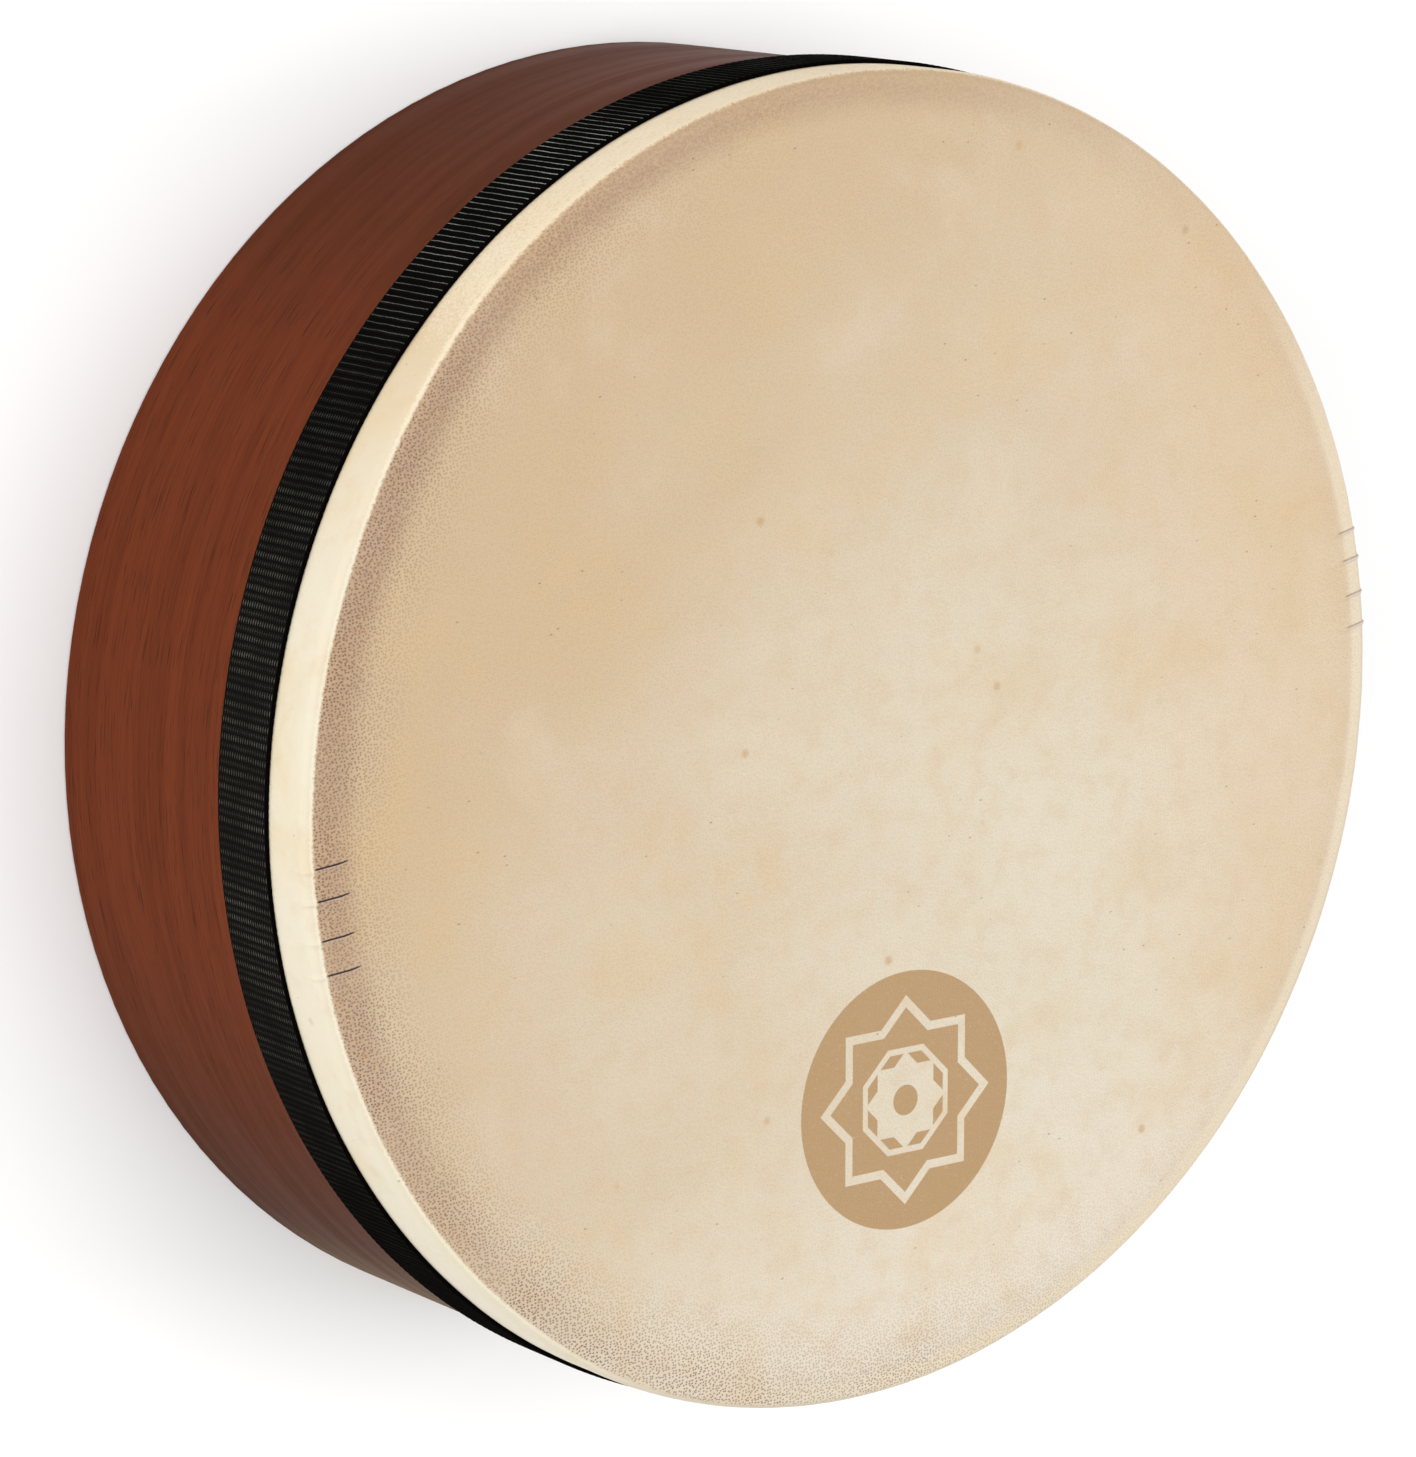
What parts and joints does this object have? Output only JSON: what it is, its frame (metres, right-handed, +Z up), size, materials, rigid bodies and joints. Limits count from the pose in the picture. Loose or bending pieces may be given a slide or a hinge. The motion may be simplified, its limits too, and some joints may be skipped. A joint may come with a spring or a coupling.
{
  "type": "frame drum",
  "caption": "Hand-held bendir frame drum: goatskin head over a laminated wooden hoop, black woven rim band, snare strings under the skin and a thumb hole.",
  "frame": {"origin": "middle of the drum at the plane of the shell's back edge, which it lies on", "axes": "+Z up out of the skin, along the drum's own axis; X along the snare strings; -Y towards the thumb hole"},
  "size_m": [0.3592, 0.3592, 0.1163],
  "materials": {
    "shell_wood": "reddish brown stain, satin lacquer",
    "goatskin": "matte natural goatskin",
    "webbing": "black ribbed woven band",
    "snare_gut": "smooth translucent string",
    "tack_steel": "bright",
    "tack_brass": "antique"
  },
  "bodies": {
    "root": {"shell_ply_1": "shell_wood", "shell_ply_2": "shell_wood", "shell_ply_3": "shell_wood", "shell_ply_4": "shell_wood", "shell_ply_5": "shell_wood", "shell_ply_6": "shell_wood", "drumhead": "goatskin", "rim_band": "webbing", "snare_string_1": "snare_gut", "snare_string_2": "snare_gut", "snare_string_3": "snare_gut", "snare_string_4": "snare_gut", "drumhead_tacks": "tack_steel", "snare_tacks": "tack_steel", "band_end_tacks": "tack_brass"}
  },
  "joints": []
}
